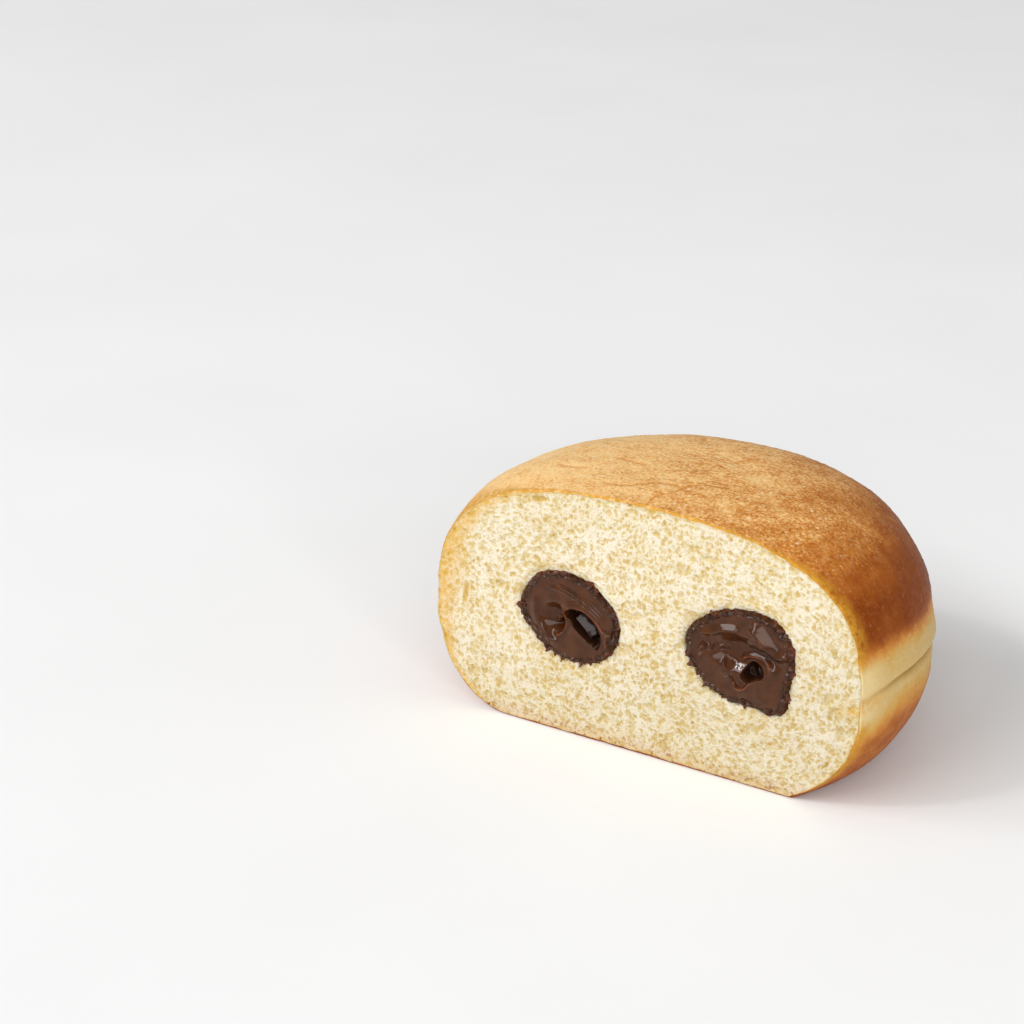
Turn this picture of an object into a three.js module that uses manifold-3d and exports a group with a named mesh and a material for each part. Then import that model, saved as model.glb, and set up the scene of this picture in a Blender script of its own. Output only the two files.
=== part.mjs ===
// A chocolate filled doughnut, cut through just in front of its middle: the larger piece, standing on its
// flat base with the cut towards -Y. The dough is one solid, with a pocket for each of the two fillings
// that open in the cut. Each filling is a solid of its own that runs back into the dough.
import * as THREE from "three";
import { mergeVertices } from "three/addons/utils/BufferGeometryUtils.js";
import Module from "manifold-3d";

// The dough, in millimetres. While it is shaped, its upright axis is at x = 0, y = 0.
const WIDTH = 80.6;
const WHOLE_DEPTH = 78.0;
const HEIGHT = 43.2;
const CUT_IN_FRONT_OF_AXIS = 13.7;
const WIDEST_AT = 14.4;
// The crown and the underside are superellipses that meet where the dough is widest: the higher a power,
// the squarer the curve. Each is flat where it reaches its flat share of the half width, and is drawn down
// to its lowest point, which is below the floor where the floor flattens it.
const CROWN = { across: 2.78, up: 3.29, flatShare: 0, reach: HEIGHT - WIDEST_AT };
const RIGHT_UNDERSIDE = { across: 4.32, up: 1.46, flatShare: 0, reach: WIDEST_AT + 4.2 };
const LEFT_UNDERSIDE = { across: 2.38, up: 1.4, flatShare: 0.66, reach: WIDEST_AT };
// The crown's top leans up towards +X by this share of the distance from the axis.
const CROWN_LEAN = 0.008;

// The pale belt round the side: a crease runs along it, where the two fried halves meet, and the crown
// is drawn in a little above it. Both nearly close towards the cut.
const CREASE = { height: 19.1, depth: 0.8, halfWidth: 0.9, wander: 1.7 };
const BELT_PINCH = { height: 24.8, depth: 0.15, halfWidth: 1.5 };
const BELT_HALF_HEIGHT = 8;
const CREASE_CLOSING = { share: 0.8, length: 7 };
// Low lumps that make the dough uneven.
const LUMP_HEIGHT = 0.3;
// Waves round the axis: how many to a turn, where each starts and how far it climbs to the side for each
// millimetre up, both in radians, and how much it counts.
const WANDER_WAVES = [
  { count: 2, start: 0.9, climb: 0, weight: 0.6 },
  { count: 5, start: 2.2, climb: 0, weight: 0.4 },
];
const LUMP_WAVES = [
  { count: 3, start: 0.4, climb: 0.06, weight: 0.6 },
  { count: 5, start: 2.0, climb: -0.08, weight: 0.4 },
];
const CREASE_WAVE = { count: 3, start: 1.0, climb: 0, weight: 0.2 };
const PINCH_WAVE = { count: 4, start: 0, climb: 0, weight: 0.25 };

// Rows from the top down, and columns round the axis.
const CROWN_ROWS = 9;
const SIDE_TOP = 27.0;
const SIDE_STEP = 1.125;
const SIDE_ROWS = 15;
const UNDERSIDE_ROWS = 6;
const UNDERSIDE_ROW_POWER = 1.5;
const DOUGH_COLUMNS = 84;

// The fillings. A pocket's outline is a round of the given radius with lobes: each lobe pushes the outline
// out by so many millimetres at one angle, in degrees from +X towards +Z, and fades over its spread.
const GAP = 0.3;
const FILLING_RECESS = 0.7;
const FILLING_COLUMNS = 60;
const FACE_ROWS = 8;
const FINGER_ROWS = 6;
// The finger behind a filling's face is a superellipse too: the higher a power, the blunter it is.
const FINGER = { along: 2.4, across: 2 };
// The face's relief fades towards its edge by this power of the share of its radius.
const RELIEF_FADE = 4;
// How far the tool that cuts a pocket reaches out in front of the cut.
const CUTTER_REACH = 3;
const TOOTH = { height: 0.9, seed: 7 };
const LEFT = {
  name: "filling_left",
  centre: { x: -13.0, z: 20.4 },
  radius: 7.7,
  lobes: [
    { at: 0, out: 1.6, spread: 30 },
    { at: 178, out: 1.6, spread: 30 },
    { at: -45, out: 1.0, spread: 28 },
    { at: 133, out: 0.9, spread: 24 },
  ],
  length: 33,
  drift: 4,
  relief: leftRelief,
};
const RIGHT = {
  name: "filling_right",
  centre: { x: 17.0, z: 21.3 },
  radius: 8.1,
  lobes: [
    { at: 176, out: 1.6, spread: 32 },
    { at: 42, out: 1.6, spread: 34 },
    { at: -44, out: 2.9, spread: 20 },
    { at: 0, out: 1.0, spread: 30 },
  ],
  length: 35,
  drift: -5,
  relief: rightRelief,
};
// The left filling's face is a swirl round a small curled peak, with a long hollow beside it.
const SWIRL = { x: -1.0, z: 0.0, turnEvery: 4.4, height: 0.4, reach: 6.5, calmCore: 1.0 };
const LEFT_PEAK = { x: -1.0, z: 0.0, height: 0.6, radius: 0.9 };
const LEFT_HOLLOW = { x: 3.4, z: -1.2, angle: -48, halfLength: 3.6, halfWidth: 1.7, depth: 2.4 };
// The right filling's face lies in wavy folds, with a small curl and a hollow low in it.
const FOLDS = { every: 3.6, height: 0.42, angle: 62, bend: 0.16, bendLength: 2, middle: 3, reach: 7 };
const RIGHT_PEAK = { x: 0.9, z: -4.1, height: 0.6, radius: 0.9 };
const RIGHT_HOLLOW = { x: 3.0, z: -3.0, angle: 10, halfLength: 2.6, halfWidth: 1.8, depth: 2.0 };

const DEGREE = Math.PI / 180;
const FULL_TURN = 2 * Math.PI;

function bell(distance, width) {
  return Math.exp(-((distance / width) ** 2));
}

// Half the dough's width on one curve at a height, as a share of its greatest half width.
function shareOn(curve, z) {
  const rise = Math.abs(z - WIDEST_AT) / curve.reach;
  return curve.flatShare + (1 - curve.flatShare) * (1 - rise ** curve.up) ** (1 / curve.across);
}

// The same for the whole outline: the underside changes from its left form to its right form.
function shareAt(turn, z) {
  if (z > WIDEST_AT) {
    return shareOn(CROWN, z);
  }
  const rightness = (1 + Math.cos(turn)) / 2;
  return shareOn(RIGHT_UNDERSIDE, z) * rightness + shareOn(LEFT_UNDERSIDE, z) * (1 - rightness);
}

// The heights of the outline's rows, from near the top down to the floor.
function rowHeights() {
  const heights = [];
  const sideAngle = Math.acos(((SIDE_TOP - WIDEST_AT) / CROWN.reach) ** (CROWN.up / 2));
  for (let i = 1; i <= CROWN_ROWS; i += 1) {
    const rise = Math.cos((sideAngle * i) / CROWN_ROWS) ** (2 / CROWN.up);
    heights.push(WIDEST_AT + CROWN.reach * rise);
  }
  for (let i = 1; i <= SIDE_ROWS; i += 1) {
    heights.push(SIDE_TOP - SIDE_STEP * i);
  }
  const sideBottom = SIDE_TOP - SIDE_STEP * SIDE_ROWS;
  for (let i = 1; i <= UNDERSIDE_ROWS; i += 1) {
    heights.push(sideBottom * (1 - i / UNDERSIDE_ROWS) ** UNDERSIDE_ROW_POWER);
  }
  return heights;
}

function wave(form, turn, z) {
  return form.weight * Math.sin(form.count * turn + form.climb * z + form.start);
}

// How far the crease wanders up or down on its way round.
function creaseWander(turn) {
  return CREASE.wander * WANDER_WAVES.reduce((sum, form) => sum + wave(form, turn, 0), 0);
}

// How far the side is drawn in by the crease and by the pinch above the belt.
function beltInset(turn, z) {
  const behindCut = CUT_IN_FRONT_OF_AXIS + (WHOLE_DEPTH / 2) * Math.sin(turn);
  const openness = 1 - CREASE_CLOSING.share * bell(behindCut, CREASE_CLOSING.length);
  const crease = CREASE.depth * (1 - CREASE_WAVE.weight + wave(CREASE_WAVE, turn, 0));
  const pinch = BELT_PINCH.depth * (1 - PINCH_WAVE.weight + wave(PINCH_WAVE, turn, 0));
  const creased = crease * bell(z - CREASE.height, CREASE.halfWidth);
  return openness * (creased + pinch * bell(z - BELT_PINCH.height, BELT_PINCH.halfWidth));
}

function lump(turn, z) {
  return LUMP_HEIGHT * LUMP_WAVES.reduce((sum, form) => sum + wave(form, turn, z), 0);
}

// A point of the dough's surface. The rows bend with the crease, and the floor keeps the lowest one flat.
function doughPoint(turn, z) {
  const share = shareAt(turn, z);
  const offset = lump(turn, z) * share ** 2 - beltInset(turn, z);
  const x = ((WIDTH / 2) * share + offset) * Math.cos(turn);
  const y = ((WHOLE_DEPTH / 2) * share + offset) * Math.sin(turn);
  if (z === 0) {
    return [x, y, 0];
  }
  const lean = CROWN_LEAN * x * Math.max(0, (z - WIDEST_AT) / CROWN.reach);
  return [x, y, z + creaseWander(turn) * bell(z - CREASE.height, BELT_HALF_HEIGHT) + lean];
}

// A closed mesh of rings between two end points, facing out when the rings run anticlockwise
// as seen from the first end.
function ringMesh(firstEnd, rings, lastEnd) {
  const columns = rings[0].length;
  const positions = [...firstEnd, ...rings.flat(2), ...lastEnd];
  const at = (ring, column) => 1 + ring * columns + (column % columns);
  const last = 1 + rings.length * columns;
  const faces = [];
  for (let column = 0; column < columns; column += 1) {
    faces.push(0, at(0, column), at(0, column + 1));
    for (let ring = 0; ring + 1 < rings.length; ring += 1) {
      faces.push(at(ring, column), at(ring + 1, column), at(ring, column + 1));
      faces.push(at(ring, column + 1), at(ring + 1, column), at(ring + 1, column + 1));
    }
    faces.push(last, at(rings.length - 1, column + 1), at(rings.length - 1, column));
  }
  const geometry = new THREE.BufferGeometry();
  geometry.setAttribute("position", new THREE.Float32BufferAttribute(positions, 3));
  geometry.setIndex(faces);
  return geometry;
}

// The whole doughnut, before it is cut.
function wholeDough() {
  const rings = rowHeights().map((z) => {
    const ring = [];
    for (let column = 0; column < DOUGH_COLUMNS; column += 1) {
      ring.push(doughPoint((FULL_TURN * column) / DOUGH_COLUMNS, z));
    }
    return ring;
  });
  return ringMesh([0, 0, HEIGHT], rings, [0, 0, 0]);
}

// Seeded random numbers from 0 to 1, by a multiplying generator.
function randomNumbers(count, seed) {
  const modulus = 2147483647;
  let state = seed;
  const numbers = [];
  for (let i = 0; i < count; i += 1) {
    state = (state * 16807) % modulus;
    numbers.push(state / modulus);
  }
  return numbers;
}

// Small pointed teeth along a filling's edge: each even column is a tip and each odd one a notch, and
// each goes out or in by up to half of a tooth's height.
function toothHeights() {
  const half = TOOTH.height / 2;
  return randomNumbers(FILLING_COLUMNS, TOOTH.seed).map((n, column) => (column % 2 ? -half : half) * n);
}

// The angle from one direction to another, from -180 to 180 degrees.
function degreesBetween(from, to) {
  return ((to - from + 540) % 360) - 180;
}

// A pocket's radius at one of its columns: round, with lobes and teeth.
function pocketRadius(pocket, column, teeth) {
  const degrees = (360 * column) / FILLING_COLUMNS;
  let radius = pocket.radius;
  for (const lobe of pocket.lobes) {
    radius += lobe.out * bell(degreesBetween(lobe.at, degrees), lobe.spread);
  }
  return radius + teeth[column];
}

// A ring of the pocket at some share of its size, grown by a margin, with y from its own function.
function pocketRing(pocket, teeth, share, margin, shift, depthAt) {
  const ring = [];
  for (let column = 0; column < FILLING_COLUMNS; column += 1) {
    const angle = (FULL_TURN * column) / FILLING_COLUMNS;
    const radius = pocketRadius(pocket, column, teeth) * share + margin;
    const u = radius * Math.cos(angle);
    const w = radius * Math.sin(angle);
    ring.push([pocket.centre.x + shift + u, depthAt(u, w), pocket.centre.z + w]);
  }
  return ring;
}

// The part of a pocket behind the cut: a finger that tapers to a blunt end and drifts sideways.
function fingerRings(pocket, teeth, margin) {
  const rings = [];
  for (let i = 1; i < FINGER_ROWS; i += 1) {
    const way = Math.sin((i / FINGER_ROWS) * (Math.PI / 2));
    const share = (1 - way ** FINGER.along) ** (1 / FINGER.across);
    const depth = -CUT_IN_FRONT_OF_AXIS + way * pocket.length;
    rings.push(pocketRing(pocket, teeth, share, margin, pocket.drift * way, () => depth));
  }
  return rings;
}

function fingerEnd(pocket, margin) {
  return [
    pocket.centre.x + pocket.drift,
    -CUT_IN_FRONT_OF_AXIS + pocket.length + margin,
    pocket.centre.z,
  ];
}

// What is taken out of the dough: the finger with the gap round it, open through the cut.
function pocketCutter(pocket, teeth) {
  const front = -CUT_IN_FRONT_OF_AXIS - CUTTER_REACH;
  const surface = -CUT_IN_FRONT_OF_AXIS + FILLING_RECESS;
  const rings = [
    pocketRing(pocket, teeth, 1, GAP, 0, () => front),
    pocketRing(pocket, teeth, 1, GAP, 0, () => surface),
    ...fingerRings(pocket, teeth, GAP),
  ];
  return ringMesh([pocket.centre.x, front, pocket.centre.z], rings, fingerEnd(pocket, GAP));
}

// A round peak, and a long hollow turned by its angle, as heights over a filling's face.
function peak(at, u, w) {
  return at.height * bell(Math.hypot(u - at.x, w - at.z), at.radius);
}

function hollow(at, u, w) {
  const along = (u - at.x) * Math.cos(at.angle * DEGREE) + (w - at.z) * Math.sin(at.angle * DEGREE);
  const across = (w - at.z) * Math.cos(at.angle * DEGREE) - (u - at.x) * Math.sin(at.angle * DEGREE);
  return -at.depth * bell(Math.hypot(along / at.halfLength, across / at.halfWidth), 1);
}

function leftRelief(u, w) {
  const away = Math.hypot(u - SWIRL.x, w - SWIRL.z);
  const turn = Math.atan2(w - SWIRL.z, u - SWIRL.x);
  const ridge = Math.cos(turn + (FULL_TURN * away) / SWIRL.turnEvery);
  const swirl = SWIRL.height * ridge * bell(away, SWIRL.reach) * Math.min(1, away / SWIRL.calmCore);
  return swirl + peak(LEFT_PEAK, u, w) + hollow(LEFT_HOLLOW, u, w);
}

function rightRelief(u, w) {
  const across = u * Math.cos(FOLDS.angle * DEGREE) + w * Math.sin(FOLDS.angle * DEGREE);
  const along = w * Math.cos(FOLDS.angle * DEGREE) - u * Math.sin(FOLDS.angle * DEGREE);
  const phase = across / FOLDS.every + FOLDS.bend * Math.sin(along / FOLDS.bendLength);
  const folds = FOLDS.height * Math.sin(FULL_TURN * phase) * bell(w - FOLDS.middle, FOLDS.reach);
  return folds + peak(RIGHT_PEAK, u, w) + hollow(RIGHT_HOLLOW, u, w);
}

// A filling: its face, sunk a little below the cut, and the finger behind it.
function fillingGeometry(pocket, teeth) {
  const surface = -CUT_IN_FRONT_OF_AXIS + FILLING_RECESS;
  const rings = [];
  for (let i = 1; i <= FACE_ROWS; i += 1) {
    const share = i / FACE_ROWS;
    const fade = 1 - share ** RELIEF_FADE;
    const depthAt = (u, w) => surface - fade * pocket.relief(u, w);
    rings.push(pocketRing(pocket, teeth, share, 0, 0, depthAt));
  }
  rings.push(...fingerRings(pocket, teeth, 0));
  const middle = [pocket.centre.x, surface - pocket.relief(0, 0), pocket.centre.z];
  return ringMesh(middle, rings, fingerEnd(pocket, 0));
}

const wasm = await Module();
wasm.setup();

function solidOf(geometry) {
  const merged = mergeVertices(geometry);
  const mesh = new wasm.Mesh({
    numProp: 3,
    vertProperties: merged.getAttribute("position").array,
    triVerts: new Uint32Array(merged.index.array),
  });
  return new wasm.Manifold(mesh);
}

function geometryOf(solid) {
  const mesh = solid.getMesh();
  const geometry = new THREE.BufferGeometry();
  geometry.setAttribute("position", new THREE.BufferAttribute(mesh.vertProperties, 3));
  geometry.setIndex(new THREE.BufferAttribute(mesh.triVerts, 1));
  geometry.computeVertexNormals();
  return geometry;
}

// The part of the doughnut that the knife took away: everything in front of the cut.
function cutAway() {
  const side = 2 * WIDTH;
  const box = new THREE.BoxGeometry(side, side, side);
  box.deleteAttribute("normal");
  box.deleteAttribute("uv");
  box.translate(0, -CUT_IN_FRONT_OF_AXIS - side / 2, 0);
  return box;
}

function doughGeometry(teeth) {
  let dough = solidOf(wholeDough()).subtract(solidOf(cutAway()));
  for (const pocket of [LEFT, RIGHT]) {
    dough = dough.subtract(solidOf(pocketCutter(pocket, teeth)));
  }
  return geometryOf(dough);
}

const crustAndCrumb = new THREE.MeshStandardMaterial({ color: 0xc98a45, roughness: 0.75, metalness: 0 });
const chocolate = new THREE.MeshStandardMaterial({ color: 0x3a2019, roughness: 0.3, metalness: 0 });

function named(name, geometry, material) {
  const mesh = new THREE.Mesh(geometry, material);
  mesh.name = name;
  return mesh;
}

const teeth = toothHeights();
const pieces = new THREE.Group();
pieces.add(named("dough", doughGeometry(teeth), crustAndCrumb));
for (const pocket of [LEFT, RIGHT]) {
  pieces.add(named(pocket.name, fillingGeometry(pocket, teeth), chocolate));
}

// The pieces are set so that the origin is on the floor, below the middle of the cut doughnut.
const bounds = new THREE.Box3().setFromObject(pieces);
const middle = bounds.getCenter(new THREE.Vector3());
pieces.position.set(-middle.x, -middle.y, 0);

const doughnut = new THREE.Group();
doughnut.add(pieces);

export default doughnut;
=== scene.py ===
"""A chocolate filled doughnut, cut through just in front of its middle: the larger piece, on a pale table.

Four pieces stand for the dough and its two fillings: the browned crust, the crumb with its pores, and the
chocolate paste in each of the two pockets. Lengths are in millimetres, and become metres when a mesh is
made. While it is shaped, the doughnut's upright axis is at x = 0, y = 0, and the cut faces -Y.
"""
import math

import bmesh
import bpy
import numpy as np
from mathutils import Matrix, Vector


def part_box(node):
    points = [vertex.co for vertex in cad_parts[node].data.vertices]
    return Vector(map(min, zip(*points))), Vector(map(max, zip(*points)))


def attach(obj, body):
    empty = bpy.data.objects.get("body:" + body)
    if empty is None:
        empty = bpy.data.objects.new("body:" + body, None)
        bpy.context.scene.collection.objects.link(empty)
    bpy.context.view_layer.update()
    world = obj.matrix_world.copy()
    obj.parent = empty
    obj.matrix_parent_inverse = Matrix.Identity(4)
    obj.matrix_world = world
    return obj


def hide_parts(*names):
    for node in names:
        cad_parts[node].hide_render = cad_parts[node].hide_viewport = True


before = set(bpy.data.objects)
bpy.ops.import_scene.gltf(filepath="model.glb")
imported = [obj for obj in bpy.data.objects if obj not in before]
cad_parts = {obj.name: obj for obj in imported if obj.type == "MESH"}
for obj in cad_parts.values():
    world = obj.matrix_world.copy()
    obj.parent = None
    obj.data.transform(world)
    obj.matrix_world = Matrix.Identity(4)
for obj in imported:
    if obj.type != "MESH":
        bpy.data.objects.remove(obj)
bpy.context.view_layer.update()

MM = 0.001

# The dough: the same form as the solid it stands for.
HALF_WIDTH = 40.3
HALF_DEPTH = 39.0
HEIGHT = 43.2
CUT = -13.7
WIDEST_AT = 14.4
CROWN = {"across": 2.78, "up": 3.29, "flat": 0.0, "reach": HEIGHT - WIDEST_AT}
RIGHT_UNDERSIDE = {"across": 4.32, "up": 1.46, "flat": 0.0, "reach": WIDEST_AT + 4.2}
LEFT_UNDERSIDE = {"across": 2.38, "up": 1.4, "flat": 0.66, "reach": WIDEST_AT}
CROWN_LEAN = 0.008
CREASE = {"height": 19.1, "depth": 0.8, "half_width": 0.62, "wander": 1.7}
BELT_PINCH = {"height": 24.8, "depth": 0.15, "half_width": 1.5}
BELT_HALF_HEIGHT = 8.0
CREASE_CLOSING = {"share": 0.8, "length": 7.0}
LUMP_HEIGHT = 0.3

# The crust: a shell that wraps a little way round the edge of the cut.
CRUST_THICKNESS = 1.0
CRUST_OVERLAP = 0.1
RIM_RADIUS = 0.35
RIM_STEPS = 3
SKIN_GRID = 281
HIDDEN_RINGS = 7
HEART = np.array([0.0, CUT + RIM_RADIUS, 20.5])
FAR_ENOUGH = 70.0

# The cut face of the crumb, as a grid of this many columns and rows.
FACE_COLUMNS = 386
FACE_ROWS = 222
RASTER = 0.1

# The two pockets. Each lobe pushes the outline out at one angle, in degrees from +X towards +Z.
# The paste's ragged edge lies over the crumb's lip by about the overlap.
POCKET_OVERLAP = 0.25
POCKET_LIP = 0.45
PASTE_RECESS = 0.40
PASTE_COLUMNS = 432
PASTE_ROWS = 104
FINGER_ROWS = 7
LEFT = {
    "name": "paste_left",
    "centre": (-13.0, 20.4),
    "radius": 7.7,
    "lobes": ((0, 1.6, 30), (178, 1.6, 30), (-45, 1.0, 28), (133, 0.9, 24)),
    "length": 33.0,
    "drift": 4.0,
    "seed": 11,
    "torn_at": -1.5,
    "torn_more": 0.5,
}
RIGHT = {
    "name": "paste_right",
    "centre": (17.0, 21.3),
    "radius": 8.1,
    "lobes": ((176, 1.6, 32), (42, 1.6, 34), (-44, 2.9, 20), (0, 1.0, 30)),
    "length": 35.0,
    "drift": -5.0,
    "seed": 23,
    "torn_at": -2.0,
    "torn_more": 0.2,
}


# Numbers.

def bell(distance, width):
    """A smooth bump: 1 in the middle, fading over the width."""
    return np.exp(-((distance / width) ** 2))


def smooth_step(value, low, high):
    """0 below low, 1 above high, and smooth between them."""
    t = np.clip((value - low) / (high - low), 0.0, 1.0)
    return t * t * (3.0 - 2.0 * t)


def mix(low, high, share):
    return low * (1.0 - share) + high * share


def gradient_noise(points, cell, seed):
    """Smooth noise, from about -1 to 1, at points of shape (..., 3). cell is the size of its features."""
    gradients = np.random.default_rng(seed).normal(size=(4096, 3))
    gradients /= np.linalg.norm(gradients, axis=1, keepdims=True)
    scaled = points / cell
    corner = np.floor(scaled).astype(np.int64)
    part = scaled - corner
    fade = part ** 3 * (part * (part * 6.0 - 15.0) + 10.0)
    total = np.zeros(points.shape[:-1])
    for i in (0, 1):
        for j in (0, 1):
            for k in (0, 1):
                step = np.array([i, j, k])
                near = corner + step
                code = near[..., 0] * 73856093 ^ near[..., 1] * 19349663 ^ near[..., 2] * 83492791
                slope = gradients[code & 4095]
                weight = np.prod(np.where(step == 1, fade, 1.0 - fade), axis=-1)
                total += weight * np.sum(slope * (part - step), axis=-1)
    return total * 1.6


def bumps(points, cell, seed, share, radius):
    """Round bumps from 0 to 1, scattered one to a cell, of which only this share is there."""
    random = np.random.default_rng(seed)
    offsets = random.uniform(0.0, 1.0, size=(4096, 3))
    sizes = random.uniform(0.55, 1.0, size=4096) * (random.uniform(size=4096) < share)
    scaled = points / cell
    corner = np.floor(scaled).astype(np.int64)
    height = np.zeros(points.shape[:-1])
    for i in (-1, 0, 1):
        for j in (-1, 0, 1):
            for k in (-1, 0, 1):
                near = corner + np.array([i, j, k])
                code = (near[..., 0] * 73856093 ^ near[..., 1] * 19349663 ^ near[..., 2] * 83492791) & 4095
                away = np.linalg.norm(near + offsets[code] - scaled, axis=-1) * cell
                size = sizes[code]
                height = np.maximum(height, size * np.clip(1.0 - (away / (radius * size + 1e-6)) ** 2, 0, 1))
    return height


def smooth_curve(knots, steps=14):
    """Points along a smooth curve through the knots."""
    knots = np.asarray(knots, dtype=float)
    ends = np.concatenate([2 * knots[:1] - knots[1:2], knots, 2 * knots[-1:] - knots[-2:-1]])
    points = []
    for i in range(1, len(ends) - 2):
        before, start, end, after = ends[i - 1], ends[i], ends[i + 1], ends[i + 2]
        for t in np.linspace(0.0, 1.0, steps, endpoint=False):
            first = (end - before) * t / 2.0
            second = (2 * before - 5 * start + 4 * end - after) * t ** 2 / 2.0
            third = (3 * start - before - 3 * end + after) * t ** 3 / 2.0
            points.append(start + first + second + third)
    points.append(ends[-2])
    return np.array(points)


def beside_curve(u, w, knots):
    """Each point's signed distance to a curve, less than 0 on its right, and how far along it is."""
    curve = smooth_curve(knots)
    best = np.full(u.shape, 1e9)
    side = np.ones(u.shape)
    along = np.zeros(u.shape)
    for i in range(len(curve) - 1):
        start = curve[i]
        way = curve[i + 1] - start
        length = np.hypot(*way)
        t = np.clip(((u - start[0]) * way[0] + (w - start[1]) * way[1]) / length ** 2, 0.0, 1.0)
        du = u - start[0] - t * way[0]
        dw = w - start[1] - t * way[1]
        distance = np.hypot(du, dw)
        nearer = distance < best
        best = np.where(nearer, distance, best)
        side = np.where(nearer, np.where(way[0] * dw - way[1] * du >= 0, 1.0, -1.0), side)
        along = np.where(nearer, (i + t) / (len(curve) - 1), along)
    return best * side, along


# The dough's form.

def share_on(curve, z):
    rise = np.clip(np.abs(z - WIDEST_AT) / curve["reach"], 0.0, 1.0)
    return curve["flat"] + (1.0 - curve["flat"]) * (1.0 - rise ** curve["up"]) ** (1.0 / curve["across"])


def share_at(turn, z):
    """The dough's half width at a height, as a share of its greatest half width."""
    rightness = (1.0 + np.cos(turn)) / 2.0
    below = mix(share_on(LEFT_UNDERSIDE, z), share_on(RIGHT_UNDERSIDE, z), rightness)
    return np.where(z > WIDEST_AT, share_on(CROWN, z), below)


def crease_wander(turn):
    return CREASE["wander"] * (0.6 * np.sin(2 * turn + 0.9) + 0.4 * np.sin(5 * turn + 2.2))


def belt_openness(turn):
    behind_cut = HALF_DEPTH * np.sin(turn) - CUT
    return 1.0 - CREASE_CLOSING["share"] * bell(behind_cut, CREASE_CLOSING["length"])


def belt_inset(turn, z):
    crease = CREASE["depth"] * (0.8 + 0.2 * np.sin(3 * turn + 1.0))
    pinch = BELT_PINCH["depth"] * (0.75 + 0.25 * np.sin(4 * turn))
    creased = crease * bell(z - CREASE["height"], CREASE["half_width"])
    return belt_openness(turn) * (creased + pinch * bell(z - BELT_PINCH["height"], BELT_PINCH["half_width"]))


def lump(turn, z):
    slow = np.sin(3 * turn + 0.06 * z + 0.4)
    quick = np.sin(5 * turn - 0.08 * z + 2.0)
    return LUMP_HEIGHT * (0.6 * slow + 0.4 * quick)


def turn_of(x, y):
    return np.arctan2(y / HALF_DEPTH, x / HALF_WIDTH)


def row_of(x, y, z):
    """The height that a point has before its row bends with the crease."""
    lean = CROWN_LEAN * x * np.maximum(0.0, (z - WIDEST_AT) / CROWN["reach"])
    return z - crease_wander(turn_of(x, y)) * bell(z - CREASE["height"], BELT_HALF_HEIGHT) - lean


def outside(x, y, z):
    """How far a point is outside the dough, measured level. Less than 0 is inside."""
    turn = turn_of(x, y)
    row = row_of(x, y, z)
    share = share_at(turn, row)
    offset = lump(turn, row) * share ** 2 - belt_inset(turn, row)
    across = (HALF_WIDTH * share + offset) * np.cos(turn)
    deep = (HALF_DEPTH * share + offset) * np.sin(turn)
    return np.hypot(x, y) - np.hypot(across, deep)


def reach(directions):
    """The distance from the heart to the dough's surface or the table, in each direction."""
    near = np.zeros(directions.shape[:-1])
    far = np.full(directions.shape[:-1], FAR_ENOUGH)
    for _ in range(30):
        middle = (near + far) / 2.0
        x, y, z = np.moveaxis(HEART + directions * middle[..., None], -1, 0)
        inside = (outside(x, y, z) < 0.0) & (z > 0.0)
        near = np.where(inside, middle, near)
        far = np.where(inside, far, middle)
    return near


def square_to_disc(a, b):
    """Maps the square from -1 to 1 onto the unit disc, so that each square ring becomes a circle."""
    wide = np.abs(a) > np.abs(b)
    radius = np.where(wide, a, b)
    safe = np.where(radius == 0.0, 1.0, radius)
    ratio = np.where(wide, b, a) / safe
    angle = np.where(wide, math.pi / 4.0 * ratio, math.pi / 2.0 - math.pi / 4.0 * ratio)
    return radius * np.cos(angle), radius * np.sin(angle)


def directions_of(angles, lift):
    """Directions at these angles round the cut's rim, lifted back from the cut by some radians."""
    level = math.cos(lift)
    back = np.full_like(angles, math.sin(lift))
    return np.stack([np.cos(angles) * level, back, np.sin(angles) * level], axis=-1)


# Meshes.

class Shell:
    """Points and faces that are gathered into one closed mesh."""

    def __init__(self):
        self.points = []
        self.quads = []
        self.triangles = []
        self.count = 0

    def add(self, points):
        points = np.asarray(points, dtype=float)
        index = self.count + np.arange(points[..., 0].size).reshape(points.shape[:-1])
        self.points.append(points.reshape(-1, 3))
        self.count += index.size
        return index

    def grid(self, index):
        corners = (index[:-1, :-1], index[:-1, 1:], index[1:, 1:], index[1:, :-1])
        self.quads.append(np.stack([c.ravel() for c in corners], axis=1))

    def bridge(self, first, second):
        corners = (first, np.roll(first, -1), np.roll(second, -1), second)
        self.quads.append(np.stack(corners, axis=1))

    def cap(self, loop, tip):
        self.triangles.append(np.stack([loop, np.roll(loop, -1), np.full_like(loop, tip)], axis=1))

    def all_points(self):
        return np.concatenate(self.points)

    def build(self, name, material, nodes, marks):
        """Makes the object. marks are values for each point, by name."""
        points = self.all_points() * MM + AXIS
        faces = [row for block in self.quads for row in block.tolist()]
        faces += [row for block in self.triangles for row in block.tolist()]
        mesh = bpy.data.meshes.new(name)
        mesh.from_pydata(points.tolist(), [], faces)
        work = bmesh.new()
        work.from_mesh(mesh)
        bmesh.ops.recalc_face_normals(work, faces=work.faces)
        work.to_mesh(mesh)
        work.free()
        for mark, values in marks.items():
            layer = mesh.attributes.new(mark, "FLOAT", "POINT")
            layer.data.foreach_set("value", np.asarray(values, dtype=np.float32))
        mesh.shade_smooth()
        mesh.materials.append(material)
        piece = bpy.data.objects.new(name, mesh)
        bpy.context.scene.collection.objects.link(piece)
        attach(piece, "root")
        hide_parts(*nodes)
        return piece


def edge_of(index):
    """The indices round the border of a grid, in order."""
    return np.concatenate([index[0, :-1], index[:-1, -1], index[-1, :0:-1], index[:0:-1, 0]])


# Crust.

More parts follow.
